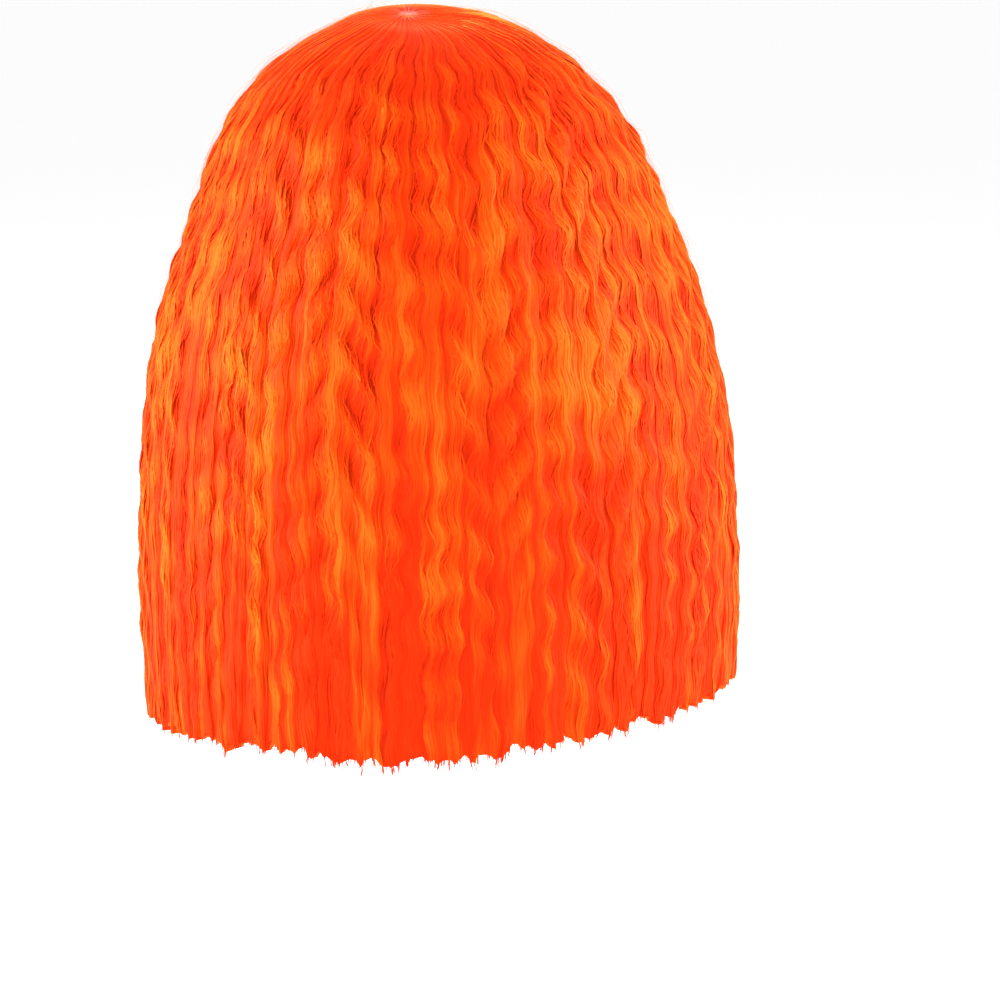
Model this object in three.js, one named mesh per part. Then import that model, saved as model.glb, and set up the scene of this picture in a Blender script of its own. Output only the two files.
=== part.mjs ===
// A wig with bangs: a stretch cap sewn from panels that carries a scalp patch at the whorl, two inner
// wefts that hang round the back, and the long crimped hair that falls from the whorl over everything.
// Millimetres, +Z up. The wearer looks along -Y and has the left ear at +X.
// The origin is the inside top of the cap, where the crown of a head bears on it.
import * as THREE from "three";

// Head that the cap fits, measured inside the cap
const HEAD = { breadth: 156, front: 94, back: 100, crownRise: 95, roundness: 2.2, napeTaper: 0.14 };
const NAPE_DROP = 75; // the head has narrowed by its nape taper this far below its widest level
const CAP_WALL = 1.5;

// Panels of the cap: a crown net, and four panels below the seam round it that end at the rim
const CROWN_NET = { name: "crown_net", columns: 28, rows: 4, crowding: 1.8 };
const CAP_PANELS = [
  { name: "front_band", from: -130, to: -50, columns: 8, rows: 2 },
  { name: "left_ear_panel", from: -50, to: 52, columns: 8, rows: 4 },
  { name: "nape_panel", from: 52, to: 128, columns: 7, rows: 5 },
  { name: "right_ear_panel", from: 128, to: 230, columns: 8, rows: 4 },
];
const CAP_SEAM_Z = -40;
const CAP_SEAM_GAP = 0.5;

// Lower edge of the cap; angle is measured from the forehead round to the nape, on either side
const CAP_RIM = [
  { angle: 0, z: -58 },
  { angle: 40, z: -70 },
  { angle: 72, z: -116 },
  { angle: 100, z: -104 },
  { angle: 135, z: -142 },
  { angle: 180, z: -158 },
];

// Outline of the hair as rings from the whorl to the hem. Each ring is two half ellipses about its own
// centre: side is its half width, back and front are its reach behind and before the centre. It is
// lower by its tilt at the back, and higher by its tilt at the front.
const HAIR_RINGS = [
  { z: 3.6, tilt: 1.8, centreX: 10, centreY: 22, side: 7, back: 7, front: 7 },
  { z: 7, tilt: 2.5, centreX: 6.5, centreY: 20, side: 21.5, back: 22, front: 25 },
  { z: 1.5, tilt: 2, centreX: 3.5, centreY: 16, side: 38.5, back: 42, front: 61 },
  { z: -17, tilt: 0, centreX: 2, centreY: 9, side: 68, back: 70, front: 88 },
  { z: -45, tilt: 0, centreX: 1, centreY: 3, side: 92, back: 101, front: 103 },
  { z: -87, tilt: 0, centreX: 0, centreY: 0, side: 111, back: 121, front: 109 },
  { z: -129, tilt: 0, centreX: -1, centreY: 0, side: 126.5, back: 127, front: 112 },
  { z: -184, tilt: 0, centreX: -2.5, centreY: 0, side: 137, back: 127, front: 110 },
  { z: -253, tilt: 0, centreX: -3.5, centreY: 0, side: 141, back: 124, front: 105 },
  { z: -317, tilt: 0, centreX: -3.5, centreY: 0, side: 139.5, back: 121, front: 101 },
];
const HEM_TILT = 8; // the hem is this much lower at the left ear and higher at the right one

// Locks: each is a rounded rib that zigzags down the hair, one crimp to every two rows
const LOCK_PROFILE = [0, 0.72, 1, 0.72];
const LOCK_DEPTH = 4.5;
const CRIMP_LENGTH = 27;
const CRIMP_SWAY = 3.4;
const CRIMP_LEAST_SWAY = 1.6;
const CRIMP_DEPTH = 1.1;
const CRIMP_STARTS = 60; // the hair leaves the whorl straight and is fully crimped this far along
const TUFT_LENGTH = 9; // a lock's tip hangs this much lower than the notch beside it
const TUFT_SPREAD = 4;
const BACKING = 5;

// Hair that grows from the whorl; angles in degrees, 0 at the left ear and 90 at the nape
const CROWN_HAIR = [
  { name: "left_side_hair", from: -47, to: 20, locks: 7 },
  { name: "back_hair", from: 20, to: 160, locks: 15 },
  { name: "right_side_hair", from: 160, to: 227, locks: 7 },
];
const BANGS = { name: "bangs", from: -132, to: -48, locks: 10, hem: -102, cornerDrop: 9, tuft: 5 };
const SECTOR_GAP = 0.8;
const LIFTS_AT = 70; // along a hair from the whorl: it lies on the cap up to here
const LIFTS_OVER = 60; // and hangs free of it this much further on

// Wefts sewn to the cap below the crown hair; inset is measured in from the hair's outline
const WEFTS = [
  { name: "middle_weft", from: -24, to: 204, root: -70, hem: -305, inset: 13.5, columns: 20, rows: 7 },
  { name: "nape_weft", from: 18, to: 162, root: -108, hem: -299, inset: 20, columns: 16, rows: 6 },
];
const WEFT_THICKNESS = 4;
const WEFT_ROOT_THICKNESS = 2;
const WEFT_LIFTS_OVER = 40;

// Scalp patch on top of the cap, showing through the opening at the whorl; it is thicker at its middle
const PATCH = { radius: 24, wall: 1.2, crown: 1.5, columns: 16, rings: 3 };
const SEAT_GAP = 0.35;
const FACET_ALLOWANCE = 0.9; // how far a flat facet dips below the curve that its corners lie on
const WEFT_FACET_ALLOWANCE = 0.45;

const HAIR_COLOUR = 0xfb5a12;
const WEFT_COLOUR = 0xe2420c;
const CAP_COLOUR = 0xb8481c;
const SCALP_COLOUR = 0xf0a090;

const CORE = new THREE.Vector3(0, 0, -HEAD.crownRise);
const radians = THREE.MathUtils.degToRad;
const { lerp, smoothstep } = THREE.MathUtils;

// A steady value from -1 to 1 for lock number k, so that no two neighbours are alike
const vary = (k, pitch) => Math.sin(k * pitch + 0.6);

// Head: a rounded dome above its widest level and a slow taper below it

function headTaper(z) {
  const below = Math.max(0, CORE.z - z) / NAPE_DROP;
  return 1 - HEAD.napeTaper * below * below;
}

function headReachAlong(direction, z, grow) {
  const taper = headTaper(z);
  const acrossScale = (HEAD.breadth / 2) * taper + grow;
  const alongScale = (direction.y > 0 ? HEAD.back : HEAD.front) * taper + grow;
  const level = Math.hypot(direction.x / acrossScale, direction.y / alongScale);
  const up = Math.max(0, direction.z) / (HEAD.crownRise + grow);
  return (level ** HEAD.roundness + up ** HEAD.roundness) ** (-1 / HEAD.roundness);
}

function domePoint(angle, z, grow) {
  const rise = THREE.MathUtils.clamp((z - CORE.z) / (HEAD.crownRise + grow), 0, 1);
  const share = (1 - rise ** HEAD.roundness) ** (1 / HEAD.roundness);
  const direction = new THREE.Vector3(Math.cos(angle), Math.sin(angle), 0);
  return direction.multiplyScalar(share * headReachAlong(direction, z, grow)).setZ(z);
}

// Closed skins from grids of points, each grid a list of rows

function pushGrid(index, first, rows, columns, flipped) {
  for (let r = 0; r + 1 < rows; r++) {
    for (let c = 0; c + 1 < columns; c++) {
      const a = first + r * columns + c;
      const [b, d, e] = [a + columns, a + 1, a + columns + 1];
      if (flipped) index.push(a, d, b, b, d, e);
      else index.push(a, b, d, b, e, d);
    }
  }
}

// Joins two edges that run side by side but may have different numbers of points
function pushZip(index, edgeA, edgeB, flipped) {
  let [a, b] = [0, 0];
  while (a + 1 < edgeA.length || b + 1 < edgeB.length) {
    const nextA = (a + 1) / (edgeA.length - 1);
    const nextB = (b + 1) / (edgeB.length - 1);
    const stepA = b + 1 >= edgeB.length || (a + 1 < edgeA.length && nextA <= nextB);
    const tip = stepA ? edgeA[a + 1] : edgeB[b + 1];
    if (flipped) index.push(edgeA[a], tip, edgeB[b]);
    else index.push(edgeA[a], edgeB[b], tip);
    if (stepA) a += 1;
    else b += 1;
  }
}

function geometryFrom(points, index) {
  const geometry = new THREE.BufferGeometry().setFromPoints(points);
  geometry.setIndex(index);
  geometry.computeVertexNormals();
  return geometry;
}

// A curtain is the solid between an outer grid and an inner one, closed along its four edges
function curtainGeometry(outer, inner) {
  const points = [...outer.flat(), ...inner.flat()];
  const index = [];
  const grids = [
    { first: 0, rows: outer.length, columns: outer[0].length },
    { first: outer.length * outer[0].length, rows: inner.length, columns: inner[0].length },
  ];
  const row = (g, r) => Array.from({ length: g.columns }, (_, c) => g.first + r * g.columns + c);
  const column = (g, c) => Array.from({ length: g.rows }, (_, r) => g.first + r * g.columns + c);
  const [front, back] = grids;
  pushGrid(index, front.first, front.rows, front.columns, false);
  pushGrid(index, back.first, back.rows, back.columns, true);
  pushZip(index, row(front, 0), row(back, 0), true);
  pushZip(index, row(front, front.rows - 1), row(back, back.rows - 1), false);
  pushZip(index, column(front, 0), column(back, 0), false);
  pushZip(index, column(front, front.columns - 1), column(back, back.columns - 1), true);
  return geometryFrom(points, index);
}

// A dome is the solid between an outer and an inner grid that close on themselves and meet a pole
function domeGeometry(outerPole, outer, innerPole, inner) {
  const columns = outer[0].length;
  const points = [outerPole, ...outer.flat(), innerPole, ...inner.flat()];
  const innerFirst = 1 + outer.length * columns;
  const index = [];
  const skin = (pole, flipped) => {
    const at = (r, c) => pole + 1 + r * columns + (c % columns);
    const push = (a, b, d) => (flipped ? index.push(a, d, b) : index.push(a, b, d));
    for (let c = 0; c < columns; c++) {
      push(pole, at(0, c), at(0, c + 1));
      for (let r = 0; r + 1 < outer.length; r++) {
        push(at(r, c), at(r + 1, c), at(r, c + 1));
        push(at(r + 1, c), at(r + 1, c + 1), at(r, c + 1));
      }
    }
  };
  skin(0, false);
  skin(innerFirst, true);
  const rim = (first) => first + 1 + (outer.length - 1) * columns;
  for (let c = 0; c < columns; c++) {
    const next = (c + 1) % columns;
    const [a, b] = [rim(0) + c, rim(0) + next];
    const [d, e] = [rim(innerFirst) + c, rim(innerFirst) + next];
    index.push(a, d, b, b, d, e);
  }
  return geometryFrom(points, index);
}

// Cap and scalp patch

const rimCurve = new THREE.CatmullRomCurve3(
  CAP_RIM.map(({ angle, z }) => new THREE.Vector3(angle, 0, z)),
);

function capRimZ(angle) {
  const fromForehead = Math.abs(THREE.MathUtils.euclideanModulo(angle + 270, 360) - 180);
  let [low, high] = [0, 1];
  for (let step = 0; step < 24; step++) {
    const middle = (low + high) / 2;
    if (rimCurve.getPoint(middle).x < fromForehead) low = middle;
    else high = middle;
  }
  return rimCurve.getPoint(low).z;
}

function crownNetGeometry() {
  const { columns, rows, crowding } = CROWN_NET;
  const grid = (grow) =>
    Array.from({ length: rows }, (_, r) =>
      Array.from({ length: columns }, (_, c) => {
        const share = ((r + 1) / rows) ** crowding;
        const z = lerp(grow, CAP_SEAM_Z + CAP_SEAM_GAP / 2, share);
        return domePoint((2 * Math.PI * c) / columns, z, grow);
      }),
    );
  const pole = (z) => new THREE.Vector3(0, 0, z);
  return domeGeometry(pole(CAP_WALL), grid(CAP_WALL), pole(0), grid(0));
}

function capPanelGeometry({ from, to, columns, rows }) {
  const margin = THREE.MathUtils.radToDeg(CAP_SEAM_GAP / HEAD.breadth);
  const skin = (grow) =>
    Array.from({ length: rows + 1 }, (_, r) =>
      Array.from({ length: columns + 1 }, (_, c) => {
        const angle = lerp(from + margin, to - margin, c / columns);
        const z = lerp(CAP_SEAM_Z - CAP_SEAM_GAP / 2, capRimZ(angle), r / rows);
        return domePoint(radians(angle), z, grow);
      }),
    );
  return curtainGeometry(skin(CAP_WALL), skin(0));
}

function patchGeometry() {
  const whorl = HAIR_RINGS[0];
  const onCap = (x, y, lift) => {
    const direction = new THREE.Vector3(x, y, 0).sub(CORE).normalize();
    const reach = headReachAlong(direction, 0, CAP_WALL) + SEAT_GAP + lift;
    return CORE.clone().addScaledVector(direction, reach);
  };
  const top = (radius) => PATCH.wall + PATCH.crown * (1 - smoothstep(radius, 0, whorl.side));
  const grid = (lift) =>
    Array.from({ length: PATCH.rings }, (_, r) =>
      Array.from({ length: PATCH.columns }, (_, c) => {
        const angle = (2 * Math.PI * c) / PATCH.columns;
        const radius = (PATCH.radius * (r + 1)) / PATCH.rings;
        const x = whorl.centreX + radius * Math.cos(angle);
        return onCap(x, whorl.centreY + radius * Math.sin(angle), lift(radius));
      }),
    );
  const pole = (lift) => onCap(whorl.centreX, whorl.centreY, lift(0));
  const bottom = () => 0;
  return domeGeometry(pole(top), grid(top), pole(bottom), grid(bottom));
}

// Hair outline: the way one hair takes from the whorl to its tip, evenly measured along its length

function ringPoint(ring, angle, inset) {
  const turn = radians(angle) + inset / ring.side;
  const reach = Math.sin(turn) > 0 ? ring.back : ring.front;
  const x = ring.centreX + ring.side * Math.cos(turn);
  const y = ring.centreY + reach * Math.sin(turn);
  return new THREE.Vector3(x, y, ring.z - ring.tilt * Math.sin(turn));
}

function hairCurve(angle, hemZ, inset = 0) {
  const passed = HAIR_RINGS.filter((ring) => ring.z > hemZ + CRIMP_LENGTH / 2);
  const points = passed.map((ring) => ringPoint(ring, angle, inset));
  return new THREE.CatmullRomCurve3([...points, outlineAtHeight(angle, hemZ, passed.length, inset)]);
}

function outlineAtHeight(angle, z, below, inset = 0) {
  const [upper, lower] = [HAIR_RINGS[below - 1], HAIR_RINGS[below]];
  const share = (z - upper.z) / (lower.z - upper.z);
  return ringPoint(upper, angle, inset).lerp(ringPoint(lower, angle, inset), share).setZ(z);
}

// A ray from the middle of the head out to a point of the outline: layers are measured along it
function rayTo(point) {
  const origin = new THREE.Vector3(0, 0, Math.min(point.z, CORE.z));
  const direction = point.clone().sub(origin).normalize();
  return {
    reach: point.distanceTo(origin),
    cap: headReachAlong(direction, Math.min(point.z, CORE.z), CAP_WALL),
    at: (distance) => origin.clone().addScaledVector(direction, distance),
  };
}

function hemZAt(angle) {
  return HAIR_RINGS.at(-1).z - HEM_TILT * Math.cos(radians(angle));
}

// Crown hair: locks outside, a smooth backing inside that lies on the cap and then hangs free of it
function lockedHair({ from, to, locks }, hemAt, tuft) {
  const columns = locks * LOCK_PROFILE.length;
  const middle = (from + to) / 2;
  const length = hairCurve(middle, hemAt(middle)).getLength();
  const rows = 2 * Math.round(length / CRIMP_LENGTH);
  const curveAt = (column, shift = 0) => {
    const lock = Math.floor(column / LOCK_PROFILE.length);
    const height = LOCK_PROFILE[column % LOCK_PROFILE.length];
    const angle = lerp(from, to, column / columns) + shift;
    const inset = SECTOR_GAP * (0.5 - column / columns);
    const tip = height * (tuft + TUFT_SPREAD * vary(lock, 1.7)) - tuft;
    return { curve: hairCurve(angle, hemAt(angle) - tip, inset), height, lock };
  };
  const outerPoint = (row, column) => {
    const { height, lock } = curveAt(column);
    const along = (row / rows) * length;
    const full = Math.min(1, along / CRIMP_STARTS);
    const crimped = smoothstep(full, 0, 1);
    const zigzag = (row % 2 === 0 ? 1 : -1) * crimped;
    const sway = height * zigzag * lerp(CRIMP_SWAY, CRIMP_LEAST_SWAY, vary(lock, 2.4) ** 2);
    const plain = curveAt(column).curve.getPointAt(row / rows);
    const shift = THREE.MathUtils.radToDeg(sway / Math.hypot(plain.x, plain.y));
    const ray = rayTo(curveAt(column, shift).curve.getPointAt(row / rows));
    const crest = height * (LOCK_DEPTH + CRIMP_DEPTH * zigzag * vary(lock, 3.1)) - LOCK_DEPTH;
    return ray.at(ray.reach + crest * full - CRIMP_DEPTH * crimped);
  };
  const innerPoint = (row, column) => {
    const along = (row / rows) * length;
    const ray = rayTo(curveAt(column).curve.getPointAt(row / rows));
    const overPatch = 1 - smoothstep(along, PATCH.radius, PATCH.radius + CRIMP_LENGTH);
    const seat = ray.cap + SEAT_GAP + FACET_ALLOWANCE + overPatch * (SEAT_GAP + PATCH.wall);
    const hanging = ray.reach - LOCK_DEPTH - BACKING;
    return ray.at(lerp(seat, Math.max(seat, hanging), smoothstep(along, LIFTS_AT, LIFTS_AT + LIFTS_OVER)));
  };
  const grid = (point, rowStep, columnStep) =>
    Array.from({ length: rows / rowStep + 1 }, (_, r) =>
      Array.from({ length: columns / columnStep + 1 }, (_, c) => point(r * rowStep, c * columnStep)),
    );
  return curtainGeometry(grid(outerPoint, 1, 1), grid(innerPoint, 2, LOCK_PROFILE.length));
}

function bangsHem(angle) {
  const fromMiddle = (angle - (BANGS.from + BANGS.to) / 2) / ((BANGS.to - BANGS.from) / 2);
  return BANGS.hem - BANGS.cornerDrop * fromMiddle * fromMiddle;
}

// A weft is sewn to the cap along its root, bends out from it and hangs inside the crown hair
function weftGeometry({ from, to, root, hem, inset, columns, rows }) {
  const skin = (isOuter) =>
    Array.from({ length: rows + 1 }, (_, r) =>
      Array.from({ length: columns + 1 }, (_, c) => {
        const angle = lerp(from, to, c / columns);
        const z = lerp(root, hem, r / rows);
        const below = HAIR_RINGS.findIndex((ring) => ring.z <= z);
        const ray = rayTo(outlineAtHeight(angle, z, below));
        const lift = smoothstep(root - z, 0, WEFT_LIFTS_OVER);
        const sewn = ray.cap + SEAT_GAP + WEFT_FACET_ALLOWANCE;
        const inner = lerp(sewn, ray.reach - inset - WEFT_THICKNESS, lift);
        const thickness = lerp(WEFT_ROOT_THICKNESS, WEFT_THICKNESS, lift);
        return ray.at(inner + (isOuter ? thickness : 0));
      }),
    );
  return curtainGeometry(skin(true), skin(false));
}

// Assembly

function piece(name, geometry, colour, roughness) {
  const material = new THREE.MeshStandardMaterial({ color: colour, roughness, metalness: 0 });
  const mesh = new THREE.Mesh(geometry, material);
  mesh.name = name;
  return mesh;
}

const capAssembly = new THREE.Group();
capAssembly.add(piece(CROWN_NET.name, crownNetGeometry(), CAP_COLOUR, 0.8));
for (const panel of CAP_PANELS) {
  capAssembly.add(piece(panel.name, capPanelGeometry(panel), CAP_COLOUR, 0.8));
}
capAssembly.add(piece("scalp_patch", patchGeometry(), SCALP_COLOUR, 0.6));

const innerWefts = new THREE.Group();
for (const weft of WEFTS) {
  innerWefts.add(piece(weft.name, weftGeometry(weft), WEFT_COLOUR, 0.5));
}

const crownHair = new THREE.Group();
for (const sector of CROWN_HAIR) {
  crownHair.add(piece(sector.name, lockedHair(sector, hemZAt, TUFT_LENGTH), HAIR_COLOUR, 0.45));
}
crownHair.add(piece(BANGS.name, lockedHair(BANGS, bangsHem, BANGS.tuft), HAIR_COLOUR, 0.45));

const wig = new THREE.Group();
wig.add(capAssembly, innerWefts, crownHair);

export default wig;
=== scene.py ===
"""A bright orange crimped bob wig with bangs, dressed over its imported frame.

Metres, +Z up. The wearer looks along -Y and has the left ear at +X. The hair is built as it hangs:
a soft body for each part of the hair, ribbed and crimped, and fine strands that lie on it.
"""
import math

import bpy
import numpy as np
from bpy.props import FloatProperty, FloatVectorProperty, PointerProperty
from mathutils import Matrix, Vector


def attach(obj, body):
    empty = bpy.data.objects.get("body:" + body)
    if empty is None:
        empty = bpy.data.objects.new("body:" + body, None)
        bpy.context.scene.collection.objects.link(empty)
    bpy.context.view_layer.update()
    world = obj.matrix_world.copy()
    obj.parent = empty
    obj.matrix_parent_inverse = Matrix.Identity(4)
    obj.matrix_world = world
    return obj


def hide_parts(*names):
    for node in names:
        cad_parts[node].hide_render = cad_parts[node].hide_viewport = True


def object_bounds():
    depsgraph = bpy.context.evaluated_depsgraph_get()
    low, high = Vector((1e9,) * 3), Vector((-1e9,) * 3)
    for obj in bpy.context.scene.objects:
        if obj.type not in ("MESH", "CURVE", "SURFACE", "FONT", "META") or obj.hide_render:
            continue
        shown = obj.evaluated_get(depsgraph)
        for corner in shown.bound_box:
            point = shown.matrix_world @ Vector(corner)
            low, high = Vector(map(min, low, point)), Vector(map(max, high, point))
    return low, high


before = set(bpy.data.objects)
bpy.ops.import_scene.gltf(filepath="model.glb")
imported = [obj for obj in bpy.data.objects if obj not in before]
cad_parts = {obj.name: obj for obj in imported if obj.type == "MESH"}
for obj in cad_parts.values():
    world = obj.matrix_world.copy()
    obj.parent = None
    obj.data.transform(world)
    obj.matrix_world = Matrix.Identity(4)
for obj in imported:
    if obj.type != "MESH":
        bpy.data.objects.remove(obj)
cad_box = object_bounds()

bl_info = {
    "name": "Crimped bob wig",
    "version": (1, 0, 0),
    "blender": (4, 5, 0),
    "location": "View3D > Sidebar > Wig",
    "description": "Dresses the frame of a wig with bangs in crimped hair",
    "category": "Object",
}

# Outline of the hair as rings from the whorl to the hem; tilt lowers the back and lifts the front, and
# dip lowers the back alone
RING_COLUMNS = ("z", "tilt", "dip", "centre_x", "centre_y", "side", "back", "front")
HAIR_RINGS = np.array([
    (0.0048, 0.0006, 0.0, 0.010, 0.022, 0.0025, 0.0025, 0.0025),
    (0.0050, 0.0026, -0.0006, 0.010, 0.022, 0.007, 0.007, 0.007),
    (0.0060, 0.0040, 0.0018, 0.0065, 0.020, 0.0230, 0.022, 0.025),
    (0.0015, 0.0030, 0.0030, 0.0035, 0.016, 0.0395, 0.042, 0.061),
    (-0.017, 0.0, 0.0, 0.003, 0.009, 0.069, 0.070, 0.088),
    (-0.045, 0.0, 0.0, 0.002, 0.003, 0.093, 0.101, 0.103),
    (-0.087, 0.0, 0.0, 0.0, 0.0, 0.111, 0.121, 0.109),
    (-0.129, 0.0, 0.0, -0.001, 0.0, 0.1265, 0.127, 0.112),
    (-0.184, 0.0, 0.0, -0.0025, 0.0, 0.137, 0.127, 0.110),
    (-0.253, 0.0, 0.0, -0.0035, 0.0, 0.141, 0.124, 0.105),
    (-0.317, 0.0, 0.0, -0.0035, 0.0, 0.1395, 0.121, 0.101),
])
LAST_RING = len(HAIR_RINGS) - 1
LAST_STEP = HAIR_RINGS[-1] - HAIR_RINGS[-2]
ALL_RINGS = np.vstack([
    HAIR_RINGS[:1], HAIR_RINGS, HAIR_RINGS[-1] + LAST_STEP, HAIR_RINGS[-1] + 2 * LAST_STEP,
])
PLACES = np.linspace(0.0, LAST_RING + 0.5, 420)
BELOW_CROWN = 3.0
HEM_Z = HAIR_RINGS[-1][0]
HEM_TILT = 0.008
HEM_DROP = 0.007
HEM_DROP_POWER = 6

# Radius at which an angle round the head becomes metres across the hair
GIRTH_RADIUS = 0.13

# Parts of the crown hair, in degrees round the head: 0 at the left ear, 90 at the nape
SECTORS = {
    "left_side_hair": (-47.0, 20.0),
    "back_hair": (20.0, 160.0),
    "right_side_hair": (160.0, 227.0),
    "bangs": (-132.0, -48.0),
}
BANGS_HEM_Z = -0.102
BANGS_CORNER_DROP = 0.009

# Head inside the cap
HEAD_HALF_WIDTH = 0.078
HEAD_FRONT = 0.094
HEAD_BACK = 0.100
HEAD_RISE = 0.095
HEAD_ROUNDNESS = 2.2
NAPE_TAPER = 0.14
NAPE_DROP = 0.075
CAP_WALL = 0.0015
CAP_RIM_ANGLES = (0.0, 40.0, 72.0, 100.0, 135.0, 180.0)
CAP_RIM_HEIGHTS = (-0.058, -0.070, -0.116, -0.104, -0.142, -0.158)
CAP_RIM_SOFTENING = 25
CAP_NODES = ["crown_net", "front_band", "left_ear_panel", "nape_panel", "right_ear_panel"]

BAKE_MAP = "OFBake"
FIBRE_MAP = "Fibre"
RELIEF = "relief"
OUTER_SHARE = 0.74
MAP_GAP = 0.02
SEED = 20


# Sums that the shapes share


def smooth(value, low, high):
    """Rises from 0 at low to 1 at high along 3x^2 - 2x^3."""
    x = np.clip((value - low) / (high - low), 0.0, 1.0)
    return x * x * (3.0 - 2.0 * x)


def mix(a, b, share):
    return a + (b - a) * share


def unit(vectors):
    return vectors / np.linalg.norm(vectors, axis=-1, keepdims=True)


def waves(value, rows):
    """Sum of sines of a value, one for each row of size, rate and start."""
    return sum(size * np.sin(rate * value + start) for size, rate, start in rows)


def ring_at(place):
    """Ring columns at a place along the table: a cubic through each four neighbouring rows."""
    first = np.clip(np.floor(place).astype(int), 0, LAST_RING)
    f = (place - first)[..., None]
    a, b, c, d = (ALL_RINGS[first + k] for k in range(4))
    cubic = 2 * b + (c - a) * f + (2 * a - 5 * b + 4 * c - d) * f**2 + (3 * b - a - 3 * c + d) * f**3
    return dict(zip(RING_COLUMNS, np.moveaxis(cubic / 2, -1, 0)))


def outline(angle, place):
    """Point of the hair's outline: two half ellipses about a ring's centre, tilted front to back."""
    angle, place = np.broadcast_arrays(angle, place)
    ring = ring_at(place)
    sine = np.sin(angle)
    reach = np.where(sine > 0, ring["back"], ring["front"])
    x = ring["centre_x"] + ring["side"] * np.cos(angle)
    y = ring["centre_y"] + reach * sine
    z = ring["z"] - ring["tilt"] * sine - ring["dip"] * np.maximum(0.0, sine) ** 2
    return np.stack([x, y, z], axis=-1)


def outline_frame(angle, place):
    """Outline point with its directions across the hair and out of it, by differences."""
    step = 1e-3
    along = unit(outline(angle, place + step) - outline(angle, place - step))
    across = unit(outline(angle + step, place) - outline(angle - step, place))
    out = unit(np.cross(along, across))
    return outline(angle, place), np.cross(out, along), out


def lengths_along(angle):
    """Length along the hair at every entry of PLACES, one row for each angle."""
    points = outline(np.asarray(angle)[:, None], PLACES[None, :])
    steps = np.linalg.norm(np.diff(points, axis=1), axis=-1)
    return np.concatenate([np.zeros((len(points), 1)), np.cumsum(steps, axis=1)], axis=1)


def look_up(wanted, known, values):
    """Row by row linear look-up: the rows are set end to end so that one interpolation does all."""
    span = max(known.max(), wanted.max()) + 1.0
    offset = (np.arange(len(known)) * span)[:, None]
    flat = np.interp((wanted + offset).ravel(), (known + offset).ravel(), np.ravel(values))
    return flat.reshape(wanted.shape)


def place_at_height(z):
    """Place along the ring table where the outline has height z, below the crown."""
    low = PLACES[PLACES >= BELOW_CROWN]
    return np.interp(-z, -ring_at(low)["z"], low)


def hem_height(angle):
    """Height of the hem: lower towards the wearer's left, and in the middle of the back."""
    dropped = HEM_DROP * np.maximum(0.0, np.sin(angle)) ** HEM_DROP_POWER
    return HEM_Z - HEM_TILT * np.cos(angle) - dropped


def bangs_hem_height(angle):
    """Height of the bangs' hem: a parabola that is lowest at its corners."""
    low, high = np.radians(SECTORS["bangs"])
    from_middle = (angle - (low + high) / 2) / ((high - low) / 2)
    return BANGS_HEM_Z - BANGS_CORNER_DROP * from_middle**2


def head_reach(direction, z):
    """Distance to the outside of the cap from the middle of the head: a rounded dome, tapered below."""
    below = np.maximum(0.0, -HEAD_RISE - z) / NAPE_DROP
    taper = 1.0 - NAPE_TAPER * below**2
    across = HEAD_HALF_WIDTH * taper + CAP_WALL
    reach = np.where(direction[..., 1] > 0, HEAD_BACK, HEAD_FRONT) * taper + CAP_WALL
    level = np.hypot(direction[..., 0] / across, direction[..., 1] / reach)
    up = np.maximum(0.0, direction[..., 2]) / (HEAD_RISE + CAP_WALL)
    return (level**HEAD_ROUNDNESS + up**HEAD_ROUNDNESS) ** (-1.0 / HEAD_ROUNDNESS)


def ray_to(point):
    """Foot on the head's axis, direction to the point, its distance and the cap's distance that way."""
    foot = np.zeros_like(point)
    foot[..., 2] = np.minimum(point[..., 2], -HEAD_RISE)
    reach = np.linalg.norm(point - foot, axis=-1)
    direction = (point - foot) / reach[..., None]
    return foot, direction, reach, head_reach(direction, foot[..., 2])


# Meshes from arrays


def add_piece(name, points, faces, maps, material, nodes=(), relief=None, normals=None):
    """One object from points, a list of face arrays and, for every point, the place on each map.

    relief is a height from 0 to 1 at each point, which the tint turns into painted shade in hollows and
    painted light on crests, and normals shade each point.
    """
    mesh = bpy.data.meshes.new(name)
    totals = np.concatenate([np.full(len(f), f.shape[1], np.int32) for f in faces])
    corners = np.concatenate([f.ravel() for f in faces]).astype(np.int32)
    mesh.vertices.add(len(points))
    mesh.vertices.foreach_set("co", np.ascontiguousarray(points, np.float32).ravel())
    mesh.loops.add(len(corners))
    mesh.loops.foreach_set("vertex_index", corners)
    mesh.polygons.add(len(totals))
    mesh.polygons.foreach_set("loop_start", (np.cumsum(totals) - totals).astype(np.int32))
    mesh.polygons.foreach_set("loop_total", totals)
    mesh.polygons.foreach_set("use_smooth", np.ones(len(totals), bool))
    for map_name, places in maps.items():
        layer = mesh.uv_layers.new(name=map_name)
        layer.data.foreach_set("uv", np.ascontiguousarray(places[corners], np.float32).ravel())
    if relief is not None:
        heights = mesh.attributes.new(RELIEF, "FLOAT", "POINT")
        heights.data.foreach_set("value", np.ascontiguousarray(relief, np.float32).ravel())
    mesh.update(calc_edges=True)
    mesh.validate()
    if normals is not None:
        mesh.normals_split_custom_set_from_vertices(normals.reshape(-1, 3))
    mesh.materials.append(material)
    piece = bpy.data.objects.new(name, mesh)
    bpy.context.scene.collection.objects.link(piece)
    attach(piece, "root")
    if nodes:
        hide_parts(*nodes)


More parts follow.
